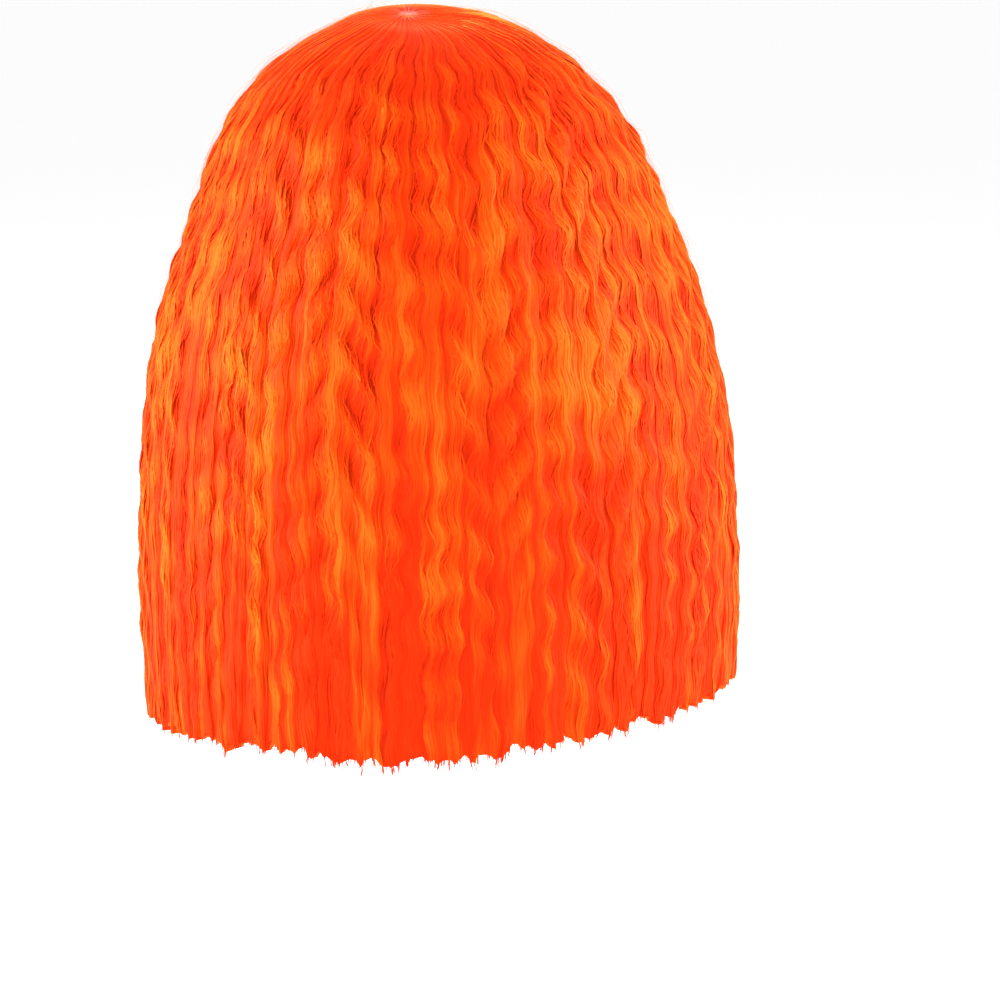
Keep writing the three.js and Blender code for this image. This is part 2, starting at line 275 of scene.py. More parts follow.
def tube_faces(tubes, rows, ring):
    """Faces of many closed tubes, each a stack of rings, with a flat cap on either end."""
    index = np.arange(tubes * rows * ring).reshape(tubes, rows, ring)
    a, b = index[:, :-1, :], np.roll(index, -1, axis=2)[:, :-1, :]
    c, d = np.roll(index, -1, axis=2)[:, 1:, :], index[:, 1:, :]
    sides = np.stack([a, b, c, d], axis=-1).reshape(-1, 4)
    return [sides, index[:, 0, ::-1], index[:, -1, :]]


def curtain_faces(rows, columns):
    """Faces of a closed curtain: rows of outer points and then inner points, joined at all edges."""
    outer = np.arange(rows * columns).reshape(rows, columns)
    inner = outer + rows * columns

    def strip(first, second):
        return np.stack([first[:-1], first[1:], second[1:], second[:-1]], axis=-1)

    def skin(grid):
        quads = [grid[:-1, :-1], grid[1:, :-1], grid[1:, 1:], grid[:-1, 1:]]
        return np.stack(quads, axis=-1).reshape(-1, 4)

    edges = [strip(outer[0], inner[0]), strip(inner[-1], outer[-1])]
    edges += [strip(inner[:, 0], outer[:, 0]), strip(outer[:, -1], inner[:, -1])]
    return [np.concatenate([skin(outer), skin(inner)[:, ::-1], *edges])]


def curtain_maps(across, along):
    """Maps of a curtain's two skins: the outer one fills most of the bake map and the inner the rest."""
    columns, rows = across.shape
    u = np.broadcast_to(np.linspace(0.0, 1.0, columns)[:, None], across.shape)
    v = np.broadcast_to(np.linspace(0.0, 1.0, rows)[None, :], across.shape)
    rest = 1.0 - OUTER_SHARE - MAP_GAP
    bake = [np.stack([u, OUTER_SHARE * v], axis=-1), np.stack([u, 1.0 - rest * v], axis=-1)]
    fibre = [np.stack([across, along], axis=-1)] * 2
    return {
        BAKE_MAP: np.concatenate([m.swapaxes(0, 1).reshape(-1, 2) for m in bake]),
        FIBRE_MAP: np.concatenate([m.swapaxes(0, 1).reshape(-1, 2) for m in fibre]),
    }


def closed_dome_faces(rows, columns):
    """Faces of a skin of rings that close on themselves, with a flat cap at its first and last ring."""
    index = np.arange(rows * columns).reshape(rows, columns)
    around = np.roll(index, -1, axis=1)
    quads = np.stack([index[:-1], index[1:], around[1:], around[:-1]], axis=-1).reshape(-1, 4)
    return [quads, index[:1], index[-1:, ::-1]]


# Materials

# Noise that runs with the fibres, in cycles per metre across the hair and along it
PATCHES = (60.0, 16.0)
STREAKS = (300.0, 16.0)
SINGLE_FIBRES = (1500.0, 30.0)
LOWER_LOCKS = (120.0, 5.0)

# What each effect adds to the tint
TINT_START = -1.28
TINT_PATCHES = 1.15
TINT_STREAKS = 0.8
TINT_FIBRES = 0.55
# Painted shade in the hollows and painted light on the crests, from the relief of the surface
TINT_RELIEF_SHADE_AND_LIGHT = 0.72
# Painted shade at the crown
TINT_CROWN_SHADE = -0.42
# Painted shade towards the hem; the lower locks take most of it back, so it stays in the clefts between
# them
TINT_HEM_SHADE = -0.7
TINT_LOWER_LOCKS = 0.62
TINT_STOPS = (0.12, 0.5, 0.9)

# Lengths from the whorl at which an effect is full and at which it is gone
# Lengths over which the painted shade at the crown is full and gone
CROWN_SHADE_FADE = (0.03, 0.16)
# Lengths over which the painted shade towards the hem is full and gone
HEM_SHADE_FADE = (0.35, 0.19)
BUMP_FADE = (0.12, 0.03)
BARE_FADE = (0.001, 0.010)
ROOT_FADE = (0.0, 0.003)

# Noise at which the lower locks, and the bare patches at the whorl, are full and gone
LOWER_LOCK_EDGES = (0.60, 0.40)
BARE_PATCH_EDGES = (0.64, 0.48)

HAIR_SPECULAR = 0.03
SHEEN_WEIGHT = 0.8
SHEEN_ROUGHNESS = 0.22
SHEEN_TINT = (1.0, 0.42, 0.06, 1.0)
FIBRE_BUMP_HEIGHT = 0.0006

NET_CELLS_PER_METRE = 450.0
NET_RANDOMNESS = 0.9
NET_EDGES = (0.05, 0.28)
NET_OPENING_SHADE = 0.35
NET_BUMP = 0.4
NET_BUMP_HEIGHT = 0.0004


def add_node(tree, kind, **values):
    node = tree.nodes.new(kind)
    for name, value in values.items():
        setattr(node, name, value)
    return node


def fibre_group():
    """Tint of hair from its fibre map, in metres across and along, and from the relief of its surface.

    Tint is 0 on deep fibres and 1 on light ones: long patches, streaks and single fibres that run along
    the hair; painted shade in the hollows and painted light on the crests, from the relief; painted shade
    at the crown, and towards the hem between the locks there. Streak is the height of single fibres,
    which fades towards the whorl, and Root is 1 where the scalp shines through there.
    """
    tree = bpy.data.node_groups.get("fibre_tint")
    if tree:
        return tree
    tree = bpy.data.node_groups.new("fibre_tint", "ShaderNodeTree")
    tree.interface.new_socket("Fibre", in_out="INPUT", socket_type="NodeSocketVector")
    tree.interface.new_socket("Relief", in_out="INPUT", socket_type="NodeSocketFloat")
    for name in ("Tint", "Streak", "Root"):
        tree.interface.new_socket(name, in_out="OUTPUT", socket_type="NodeSocketFloat")
    given = tree.nodes.new("NodeGroupInput")
    result = tree.nodes.new("NodeGroupOutput")

    def fibre_noise(across, along):
        place = add_node(tree, "ShaderNodeMapping")
        place.inputs["Scale"].default_value = (across, along, 1.0)
        noise = add_node(tree, "ShaderNodeTexNoise", noise_dimensions="2D")
        noise.inputs["Scale"].default_value = 1.0
        noise.inputs["Detail"].default_value = 1.0
        tree.links.new(given.outputs["Fibre"], place.inputs["Vector"])
        tree.links.new(place.outputs["Vector"], noise.inputs["Vector"])
        return noise.outputs["Fac"]

    def scaled(value, factor, added):
        node = add_node(tree, "ShaderNodeMath", operation="MULTIPLY_ADD")
        tree.links.new(value, node.inputs[0])
        node.inputs[1].default_value = factor
        if isinstance(added, float):
            node.inputs[2].default_value = added
        else:
            tree.links.new(added, node.inputs[2])
        return node.outputs[0]

    def faded(value, full, gone):
        node = add_node(tree, "ShaderNodeMapRange", interpolation_type="SMOOTHSTEP")
        node.inputs["From Min"].default_value = gone
        node.inputs["From Max"].default_value = full
        tree.links.new(value, node.inputs["Value"])
        return node.outputs[0]

    def joined(operation, first, second):
        node = add_node(tree, "ShaderNodeMath", operation=operation)
        tree.links.new(first, node.inputs[0])
        tree.links.new(second, node.inputs[1])
        return node.outputs[0]

    split = add_node(tree, "ShaderNodeSeparateXYZ")
    tree.links.new(given.outputs["Fibre"], split.inputs[0])
    along = split.outputs["Y"]
    fine = fibre_noise(*SINGLE_FIBRES)
    patches = fibre_noise(*PATCHES)
    tint = scaled(patches, TINT_PATCHES, TINT_START)
    tint = scaled(fibre_noise(*STREAKS), TINT_STREAKS, tint)
    tint = scaled(fine, TINT_FIBRES, tint)
    # Painted shade in the hollows and painted light on the crests
    tint = scaled(given.outputs["Relief"], TINT_RELIEF_SHADE_AND_LIGHT, tint)
    # Painted shade at the crown
    tint = scaled(faded(along, *CROWN_SHADE_FADE), TINT_CROWN_SHADE, tint)
    # Painted shade towards the hem, kept in the clefts between the locks there
    lower = faded(along, *HEM_SHADE_FADE)
    tint = scaled(lower, TINT_HEM_SHADE, tint)
    lower_locks = faded(fibre_noise(*LOWER_LOCKS), *LOWER_LOCK_EDGES)
    tint = scaled(joined("MULTIPLY", lower_locks, lower), TINT_LOWER_LOCKS, tint)
    tree.links.new(tint, result.inputs["Tint"])
    streak = joined("MULTIPLY", fine, faded(along, *BUMP_FADE))
    bare = joined("MULTIPLY", faded(along, *BARE_FADE), faded(patches, *BARE_PATCH_EDGES))
    root = joined("MAXIMUM", bare, faded(along, *ROOT_FADE))
    tree.links.new(streak, result.inputs["Streak"])
    tree.links.new(root, result.inputs["Root"])
    return tree


def hair_material(name, colours, scalp, roughness, bump):
    """Hair finish: three orange tints, scalp pink at the root and fibres as fine bump."""
    material = bpy.data.materials.new(name)
    material.use_nodes = True
    tree = material.node_tree
    shader = tree.nodes["Principled BSDF"]
    shader.inputs["Specular IOR Level"].default_value = HAIR_SPECULAR
    shader.inputs["Roughness"].default_value = roughness
    shader.inputs["Sheen Weight"].default_value = SHEEN_WEIGHT
    shader.inputs["Sheen Roughness"].default_value = SHEEN_ROUGHNESS
    shader.inputs["Sheen Tint"].default_value = SHEEN_TINT
    fibre = add_node(tree, "ShaderNodeUVMap", uv_map=FIBRE_MAP)
    relief = add_node(tree, "ShaderNodeAttribute", attribute_name=RELIEF)
    tint = add_node(tree, "ShaderNodeGroup", node_tree=fibre_group())
    tree.links.new(fibre.outputs["UV"], tint.inputs["Fibre"])
    tree.links.new(relief.outputs["Fac"], tint.inputs["Relief"])

    ramp = add_node(tree, "ShaderNodeValToRGB")
    stops = ramp.color_ramp.elements
    stops.new(TINT_STOPS[1])
    for stop, position, colour in zip(stops, TINT_STOPS, colours):
        stop.position = position
        stop.color = (*colour, 1.0)
    tree.links.new(tint.outputs["Tint"], ramp.inputs["Fac"])
    rooted = add_node(tree, "ShaderNodeMix", data_type="RGBA")
    tree.links.new(tint.outputs["Root"], rooted.inputs["Factor"])
    tree.links.new(ramp.outputs["Color"], rooted.inputs["A"])
    rooted.inputs["B"].default_value = (*scalp, 1.0)
    tree.links.new(rooted.outputs["Result"], shader.inputs["Base Color"])
    raised = add_node(tree, "ShaderNodeBump")
    raised.inputs["Strength"].default_value = bump
    raised.inputs["Distance"].default_value = FIBRE_BUMP_HEIGHT
    tree.links.new(tint.outputs["Streak"], raised.inputs["Height"])
    tree.links.new(raised.outputs["Normal"], shader.inputs["Normal"])
    return material


def plain_material(name, colour, roughness):
    material = bpy.data.materials.new(name)
    material.use_nodes = True
    shader = material.node_tree.nodes["Principled BSDF"]
    shader.inputs["Base Color"].default_value = (*colour, 1.0)
    shader.inputs["Roughness"].default_value = roughness
    return material


def net_material(name, colour, roughness):
    """Stretch net: small raised cells about 2 mm wide, darker in the openings."""
    material = plain_material(name, colour, roughness)
    tree = material.node_tree
    shader = tree.nodes["Principled BSDF"]
    where = add_node(tree, "ShaderNodeTexCoord")
    cells = add_node(tree, "ShaderNodeTexVoronoi", voronoi_dimensions="3D", feature="DISTANCE_TO_EDGE")
    cells.inputs["Scale"].default_value = NET_CELLS_PER_METRE
    cells.inputs["Randomness"].default_value = NET_RANDOMNESS
    tree.links.new(where.outputs["Object"], cells.inputs["Vector"])
    ramp = add_node(tree, "ShaderNodeValToRGB")
    stops = ramp.color_ramp.elements
    stops[0].position, stops[1].position = NET_EDGES
    stops[0].color = (*colour, 1.0)
    stops[1].color = (*(NET_OPENING_SHADE * part for part in colour), 1.0)
    tree.links.new(cells.outputs["Distance"], ramp.inputs["Fac"])
    tree.links.new(ramp.outputs["Color"], shader.inputs["Base Color"])
    raised = add_node(tree, "ShaderNodeBump", invert=True)
    raised.inputs["Strength"].default_value = NET_BUMP
    raised.inputs["Distance"].default_value = NET_BUMP_HEIGHT
    tree.links.new(cells.outputs["Distance"], raised.inputs["Height"])
    tree.links.new(raised.outputs["Normal"], shader.inputs["Normal"])
    return material


# What a user would change


class WigShape(bpy.types.PropertyGroup):
    crimp_length: FloatProperty(
        name="Crimp length", description="From one crest of the crimp to the next",
        default=0.026, unit="LENGTH",
    )
    crimp_sway: FloatProperty(
        name="Crimp sway", description="How far a lock swings to either side",
        default=0.0016, unit="LENGTH",
    )
    crimp_lift: FloatProperty(
        name="Crimp lift", description="How far a crest stands out and a hollow sinks",
        default=0.0009, unit="LENGTH",
    )
    lock_width: FloatProperty(
        name="Lock width", description="Width of the widest ribs that the hair falls into",
        default=0.011, unit="LENGTH",
    )
    lock_depth: FloatProperty(
        name="Lock depth", description="How far the ribs stand out of the hollows between them",
        default=0.0016, unit="LENGTH",
    )
    strand_width: FloatProperty(
        name="Strand width", description="Usual width of a fine strand",
        default=0.0006, unit="LENGTH",
    )
    tuft_width: FloatProperty(
        name="Tuft width", description="Usual width of the tufts that the hem falls into",
        default=0.015, unit="LENGTH",
    )
    hem_raggedness: FloatProperty(
        name="Hem raggedness", description="How much the tufts differ in length",
        default=0.004, unit="LENGTH",
    )


class WigColours(bpy.types.PropertyGroup):
    # Deep is also what the tint reaches in its painted shade (hollows, crown, above the hem), and light in
    # its painted light on crests
    deep: FloatVectorProperty(
        name="Deep", description="Fibres in the hollows", subtype="COLOR", size=3,
        default=(0.71, 0.015, 0.001),
    )
    middle: FloatVectorProperty(
        name="Middle", description="Most of the fibres", subtype="COLOR", size=3,
        default=(0.84, 0.057, 0.002),
    )
    light: FloatVectorProperty(
        name="Light", description="Palest fibres", subtype="COLOR", size=3,
        default=(0.93, 0.116, 0.006),
    )
    scalp: FloatVectorProperty(
        name="Scalp", description="Skin-like patch at the whorl", subtype="COLOR", size=3,
        default=(0.88, 0.2, 0.155),
    )
    cap: FloatVectorProperty(
        name="Cap", description="Stretch net of the cap", subtype="COLOR", size=3,
        default=(0.42, 0.09, 0.03),
    )


class WigStage(bpy.types.PropertyGroup):
    floor_drop: FloatProperty(
        name="Floor drop", description="From the lowest hair down to the floor",
        default=0.08, unit="LENGTH",
    )
    distance: FloatProperty(
        name="Camera distance", description="From the camera to the middle of the wig",
        default=1.5, unit="LENGTH",
    )
    view_width: FloatProperty(
        name="View width", description="Width of the picture at the middle of the wig",
        default=0.465, unit="LENGTH",
    )
    aim: FloatVectorProperty(
        name="Aim", description="Point in the middle of the picture", size=3, unit="LENGTH",
        default=(-0.032, 0.0, -0.222),
    )
    camera_height: FloatProperty(
        name="Camera height", description="Height of the lens", default=0.014, unit="LENGTH",
    )


# Hair

# Swells of the crimp round the head, in rows of size, waves per radian and start
CRIMP_DRIFT = ((2.2, 2.3, 0.4), (1.3, 5.1, 1.9), (0.9, 11.0, 0.0))
FINE_DRIFT = ((0.6, 31.0, 0.7), (0.15, 53.0, 2.2))
WANDER, WANDER_LENGTH, WANDER_RATE = 0.8, 0.041, 7.0
STRETCH, STRETCH_RATE = 0.03, 17.0
CREST_LEAD = 0.9

# Lengths from the whorl over which the crimp grows, and over which neighbouring locks part company
CRIMP_GROWS = (0.010, 0.085)
LOCKS_DIFFER = (0.05, 0.18)

# The crimp is calmer over the last stretch above the hem, and comes and goes on the way down
HEM_CALM, HEM_CALM_LENGTH = 0.55, 0.11
COME_AND_GO, COME_AND_GO_LENGTH, COME_AND_GO_RATE = 0.5, 0.034, 13.0
COME_AND_GO_SWING = (2.5, 5.0)

# Ribs across the hair, in rows of height, turns in a lock's width, swing and how often they swing
RIB_ROWS = ((0.8, 1.0, 1.4, 0.7), (0.36, 2.3, 1.9, 1.3), (0.13, 4.1, 2.1, 0.9))
RIB_ROUNDING = 0.07
RIB_FLOOR = 0.26
RIB_WEAVE, RIB_WEAVE_LENGTH, RIB_WEAVE_SWING, RIB_WEAVE_RATE = 0.0022, 0.047, 3.0, 4.0

# Broad lumps of the hair's surface, and the length over which they come in
LUMP_HEIGHT = 0.0006
LUMP_RATE, LUMP_SWING, LUMP_SWING_LENGTH = 23.0, 2.0, 0.045
LUMP_LENGTH, LUMP_TURN, LUMP_TURN_RATE = 0.021, 3.0, 9.0
LUMP_GROWS = (0.05, 0.12)

# Depth of the surface below the outline, shallower near the whorl, and a hollow round the crown
MEAN_DEPTH = 0.0017
WHORL_DEPTH_SHARE = 0.15
DEPTH_GROWS = (0.0, 0.11)
CROWN_HOLLOW = 0.0010
CROWN_HOLLOW_STARTS = (0.0, 0.015)
CROWN_HOLLOW_ENDS = (0.03, 0.07)
# Relief from 0 in hollows to 1 on crests: it thins the body, and the tint paints shade in the hollows and
# light on the crests from it
RELIEF_RIB, RELIEF_START, RELIEF_CREST = 0.55, 0.36, 230.0

# Tufts at the hem: narrow ones in wide ones, how pointed they are and how their lengths differ
FINE_TUFT = 0.34
TUFT_UNEVEN = ((0.35, 1.7, 0.0), (0.2, 4.3, 1.0))
TUFT_POINT = 1.4
FINE_TUFT_NOTCH = 0.9
TUFT_CHANCE, FINE_TUFT_CHANCE = 0.7, 0.5
TUFT_DRAW, FINE_TUFT_DRAW = 0.09, 0.05
CHANCE_SCALE, CHANCE_STEP, CHANCE_START = 43758.5453, 12.9898, 4.1
HEM_SPAN = 0.03

# Inside of the hair's body: its seat over the cap, the scalp patch and the whorl, and where it hangs free
SEAT_GAP = 0.0012
PATCH_ROOM, PATCH_ROOM_ENDS = 0.0016, (0.024, 0.050)
WHORL_ROOM, WHORL_ROOM_ENDS = 0.0020, (0.0, 0.006)
HANGS_FREE = (0.07, 0.13)
BODY_THICKNESS = 0.0088
BODY_RELIEF = 0.0008
BODY_HEM_THICKNESS = 0.0052
BODY_THINNEST = 0.0012


def crimp_phase(angle, length):
    """Phase of the crimp: it runs down the hair and drifts round the head in swells of several widths."""
    shape = bpy.context.scene.wig_shape
    drift = waves(angle, CRIMP_DRIFT) + waves(angle, FINE_DRIFT) * smooth(length, *LOCKS_DIFFER)
    wander = WANDER * np.sin(length / WANDER_LENGTH + WANDER_RATE * angle)
    stretch = 1.0 + STRETCH * np.sin(STRETCH_RATE * angle)
    return 2 * math.pi * length / shape.crimp_length * stretch + drift + wander


def crimp_strength(angle, length, end):
    """The crimp grows over the first hand's breadth, comes and goes in places, and fades at the hem."""
    grown = smooth(length, *CRIMP_GROWS) * (1.0 - HEM_CALM * smooth(length, end - HEM_CALM_LENGTH, end))
    swing = mix(*COME_AND_GO_SWING, smooth(length, *LOCKS_DIFFER))
    turn = length / COME_AND_GO_LENGTH + swing * np.sin(COME_AND_GO_RATE * angle)
    return grown * (1.0 + COME_AND_GO * np.sin(turn))


def hem_for(sector):
    return bangs_hem_height if sector == "bangs" else hem_height


def hair_lengths(angle, hem_z):
    """Length table of each hair and its length from the whorl to the hem."""
    table = lengths_along(angle)
    places = np.broadcast_to(PLACES, table.shape)
    return table, look_up(place_at_height(hem_z)[:, None], places, table)[:, 0]


def ribs(across, coarse):
    """Rounded ribs of three widths across the hair, as a height from 0 to 1; coarse is the widest."""
    height = 0.0
    for share, turns, swing, rate in RIB_ROWS:
        wave = np.sin(math.pi * across / coarse * turns + swing * np.sin(across / coarse * rate))
        height = height + share * (np.sqrt(wave**2 + RIB_ROUNDING) - RIB_FLOOR)
    return height


def tufts(angle, width):
    """How far a hair is from the middle of its tuft at the hem, from -1 to 1, and the tuft's own chance."""
    across = GIRTH_RADIUS * angle / width
    across = across + waves(across, TUFT_UNEVEN)
    number = np.floor(across)
    chance = (CHANCE_SCALE * np.sin(CHANCE_STEP * number + CHANCE_START)) % 1.0
    return 2.0 * (across - number) - 1.0, chance


def ragged_hem(angle):
    """How far above the hem each hair ends: wide tufts and narrow ones, each longest in its middle."""
    shape = bpy.context.scene.wig_shape
    off, chance = tufts(angle, shape.tuft_width)
    fine_off, fine_chance = tufts(angle, FINE_TUFT * shape.tuft_width)
    notch = np.abs(off) ** TUFT_POINT + FINE_TUFT_NOTCH * np.abs(fine_off) ** TUFT_POINT
    return shape.hem_raggedness * (notch + TUFT_CHANCE * chance + FINE_TUFT_CHANCE * fine_chance)


def hair_surface(angle, length, table, end, stray=0.0, gain=1.0):
    """Outer surface of the hair, one row of points for each hair at its angle round the head.

    A hair follows the outline, swings sideways with the crimp, and lies below the outline by a depth
    that ribs, crests and broad lumps take up. stray shifts a hair's crimp and gain scales its swing.
    Near the hem, hairs draw in to the middle of their tuft. Returns the points, the outward directions,
    the relief from 0 in hollows to 1 on crests, and the outline's points.
    """
    shape = bpy.context.scene.wig_shape
    angle, end = angle[:, None], end[:, None]
    place = look_up(length, table, np.broadcast_to(PLACES, table.shape))
    point, across, out = outline_frame(angle, place)
    strength = crimp_strength(angle, length, end)
    phase = crimp_phase(angle, length)
    sideways = gain * shape.crimp_sway * strength * np.sin(phase + stray)
    drawn_in = TUFT_DRAW * tufts(angle, shape.tuft_width)[0]
    drawn_in = drawn_in + FINE_TUFT_DRAW * tufts(angle, FINE_TUFT * shape.tuft_width)[0]
    sideways = sideways - drawn_in * shape.tuft_width * smooth(length, end - HEM_SPAN, end)

    weave = np.sin(length / RIB_WEAVE_LENGTH + RIB_WEAVE_SWING * np.sin(RIB_WEAVE_RATE * angle))
    rib = ribs(GIRTH_RADIUS * angle + RIB_WEAVE * weave, shape.lock_width)
    lump = np.sin(LUMP_RATE * angle + LUMP_SWING * np.sin(length / LUMP_SWING_LENGTH))
    lump = lump * np.sin(length / LUMP_LENGTH + LUMP_TURN * np.sin(LUMP_TURN_RATE * angle))
    crest = shape.crimp_lift * strength * np.sin(phase + CREST_LEAD)
    crest = crest + LUMP_HEIGHT * lump * smooth(length, *LUMP_GROWS)
    # Relief for the body's thickness and for the tint's painted shade in hollows and painted light on
    # crests
    relief = np.clip(RELIEF_RIB * rib + RELIEF_START + RELIEF_CREST * crest, 0.0, 1.0)

    depth = MEAN_DEPTH - shape.lock_depth * rib - crest
    depth = depth * mix(WHORL_DEPTH_SHARE, 1.0, smooth(length, *DEPTH_GROWS))
    hollow = smooth(length, *CROWN_HOLLOW_STARTS) * (1.0 - smooth(length, *CROWN_HOLLOW_ENDS))
    depth = depth + CROWN_HOLLOW * hollow
    return point + across * sideways[..., None] - out * depth[..., None], out, relief, point


def hair_body(sector, columns, rows, materials):
    """Soft body of one part of the hair: two skins on a grid of hairs and lengths along them.

    The outer skin is the hair's surface, and its hem is notched into tufts. The inner skin lies on the
    cap near the whorl and then hangs free, a finger's thickness behind the outer one.
    """
    low, high = np.radians(SECTORS[sector])
    angle = np.linspace(low, high, columns)
    table, end = hair_lengths(angle, hem_for(sector)(angle) + ragged_hem(angle))
    length = end[:, None] * np.linspace(0.0, 1.0, rows)[None, :]
    outer, _, relief, point = hair_surface(angle, length, table, end)
    foot, direction, reach, cap = ray_to(point)
    seat = cap + SEAT_GAP + PATCH_ROOM * (1 - smooth(length, *PATCH_ROOM_ENDS))
    seat = seat + WHORL_ROOM * (1 - smooth(length, *WHORL_ROOM_ENDS))
    at_hem = smooth(length, end[:, None] - HEM_SPAN, end[:, None])
    thickness = mix(BODY_THICKNESS - BODY_RELIEF * relief, BODY_HEM_THICKNESS, at_hem)
    hanging = np.maximum(seat, reach - thickness)
    inner_reach = mix(seat, hanging, smooth(length, *HANGS_FREE))
    inner = foot + direction * np.minimum(inner_reach, reach - BODY_THINNEST)[..., None]
    points = np.concatenate([skin.swapaxes(0, 1).reshape(-1, 3) for skin in (outer, inner)])
    maps = curtain_maps(np.broadcast_to(GIRTH_RADIUS * angle[:, None], length.shape), length)
    # The relief goes to the tint as painted shade in the hollows and painted light on the crests
    heights = np.concatenate([relief.T.ravel()] * 2)
    add_piece(
        f"{sector}_body", points, curtain_faces(rows, columns), maps, materials["under"],
        [sector], heights,
    )


# Strands

# Section of a strand: sideways and outwards, in shares of its half width and of its thickness
STRAND_PROFILE = np.array([(1.0, -0.5), (0.0, 1.0), (-1.0, -0.5)])
STRAND_FLATNESS = 0.25
STRAND_WIDTHS = (0.6, 1.5)
STRAND_MAP_SHARE = 0.4

# A strand comes up over its first stretch, out of the body, and thins again at its tip
COMES_UP = 0.03
COMES_UP_DEPTH = 0.0012
TIP_LENGTH = 0.012
ROOT_WIDTH, TIP_WIDTH = 0.12, 0.5
SHORTEST = 0.05

# How far a strand's crimp, place, height and tip may differ from those of the surface below it
CRIMP_STRAY = 0.55
CRIMP_GAINS = (0.5, 1.5)
DRIFT, DRIFT_LENGTH = 0.0012, 0.027
RISE, RISE_POWER, RISE_LENGTH = 0.00028, 1.5, 0.014
RISE_MEAN, RISE_WAVE = 0.55, 0.45
STRAND_NOTCH = 1.2
TIP_STRAY = 0.0045
LENGTH_SHARES = (0.5, 1.0)
GOLDEN_SHARE = 0.618034

# Shading of a strand: the step to its neighbour on the surface, and how much of that slope it takes
NEIGHBOUR_ANGLE = 0.004
SLOPE_SHARE = 0.7


def start_lengths(sector, count, generator):
    """Where hairs come up: as many over each stretch of the head as its girth has room for."""
    middle = np.radians(np.mean(SECTORS[sector]))
    side = ring_at(PLACES)["side"]
    girth = np.maximum.accumulate(side) / side.max()
    rank = (np.arange(count) * GOLDEN_SHARE + generator.uniform()) % 1.0
    return np.interp(rank, girth, lengths_along(np.array([middle]))[0])


def sections(path, out, profile, width, thickness):
    """Carries a profile along each path: its first column runs sideways and its second outwards."""
    tangent = unit(np.gradient(path, axis=1))
    side = unit(np.cross(out, tangent))
    up = np.cross(tangent, side)
    x = profile[:, 0] * width[..., None]
    y = profile[:, 1] * thickness[..., None]
    return path[:, :, None, :] + side[:, :, None, :] * x[..., None] + up[:, :, None, :] * y[..., None]


def add_hairs(name, rings, across, length, relief, normals, material):
    """One piece of many closed tubes, each with a strip of the bake map of its own."""
    count, rows, around = rings.shape[:3]
    shape = (count, rows, around)
    spread = STRAND_PROFILE[:, 0][None, None, :]
    u = (np.arange(count)[:, None, None] + 0.5 + STRAND_MAP_SHARE * spread) / count
    v = np.linspace(0.0, 1.0, rows)[None, :, None]

    def flat(first, second):
        both = [np.broadcast_to(part, shape) for part in (first, second)]
        return np.stack(both, axis=-1).reshape(-1, 2)

    maps = {BAKE_MAP: flat(u, v), FIBRE_MAP: flat(across[..., None], length[..., None])}
    heights = np.broadcast_to(relief[..., None], shape)
    shading = np.broadcast_to(normals[:, :, None, :], (*shape, 3))
    add_piece(
        name, rings.reshape(-1, 3), tube_faces(*shape), maps, material, (), heights, shading,
    )


def taper(length, start, end):
    """Thin at the first stretch, full in the middle and thinner again at the tip."""
    grown = mix(ROOT_WIDTH, 1.0, smooth(length, start[:, None], start[:, None] + COMES_UP))
    return grown * mix(1.0, TIP_WIDTH, smooth(length, end[:, None] - TIP_LENGTH, end[:, None]))


def hair_strands(name, sector, count, rows, loose, longest, generator, materials):
    """Fine strands on the hair's surface, each with a crimp, a drift and a tip a little of its own.

    They are shaded as the surface that they lie on. loose scales how far they stray from it, and
    longest ends the short ones above the hem.
    """
    def each(low, high):
        return generator.uniform(low, high, count)

    def each_turn():
        return each(0.0, 2 * math.pi)[:, None]

    shape = bpy.context.scene.wig_shape
    low, high = np.radians(SECTORS[sector])
    angle = mix(low, high, (np.arange(count) + 0.5 + each(-0.5, 0.5)) / count)
    ragged = STRAND_NOTCH * ragged_hem(angle) + each(-TIP_STRAY, 0.0)
    table, end = hair_lengths(angle, hem_for(sector)(angle) + ragged)
    start = np.minimum(start_lengths(sector, count, generator), end - SHORTEST)
    tip = np.minimum(end, start + longest * each(*LENGTH_SHARES))
    length = start[:, None] + (tip - start)[:, None] * np.linspace(0.0, 1.0, rows)[None, :]
    stray = loose * generator.normal(0.0, CRIMP_STRAY, count)[:, None]
    gain = each(*CRIMP_GAINS)[:, None]
    path, out, relief, _ = hair_surface(angle, length, table, end, stray, gain)

    beside = hair_surface(angle + NEIGHBOUR_ANGLE, length, table, end, stray, gain)[0]
    normals = unit(np.cross(np.gradient(path, axis=1), beside - path))
    facing = np.clip(np.sum(normals * out, axis=-1, keepdims=True), 0.0, 1.0)
    normals = unit(mix(out, normals, SLOPE_SHARE * facing))

    across = unit(np.cross(out, np.gradient(path, axis=1)))
    drift = loose * each(0.0, DRIFT)[:, None]
    drift = drift * np.sin(length / DRIFT_LENGTH + each_turn())
    rise = loose**RISE_POWER * RISE * each(0.0, 1.0)[:, None] ** 2
    rise = rise * (RISE_MEAN + RISE_WAVE * np.sin(length / RISE_LENGTH + each_turn()))
    came_up = smooth(length, start[:, None], start[:, None] + COMES_UP)
    lift = rise * came_up - COMES_UP_DEPTH * (1.0 - came_up)
    path = path + across * drift[..., None] + out * lift[..., None]
    width = 0.5 * shape.strand_width * each(*STRAND_WIDTHS)[:, None]
    width = width * taper(length, start, tip) / math.sqrt(loose)
    rings = sections(path, out, STRAND_PROFILE, width, STRAND_FLATNESS * width)
    place = GIRTH_RADIUS * angle[:, None] + drift
    # Each strand takes the relief of the surface below it, for painted shade in hollows and painted light
    # on crests
    add_hairs(name, rings, place, length, relief, normals, materials["strand"])


# Inner wefts

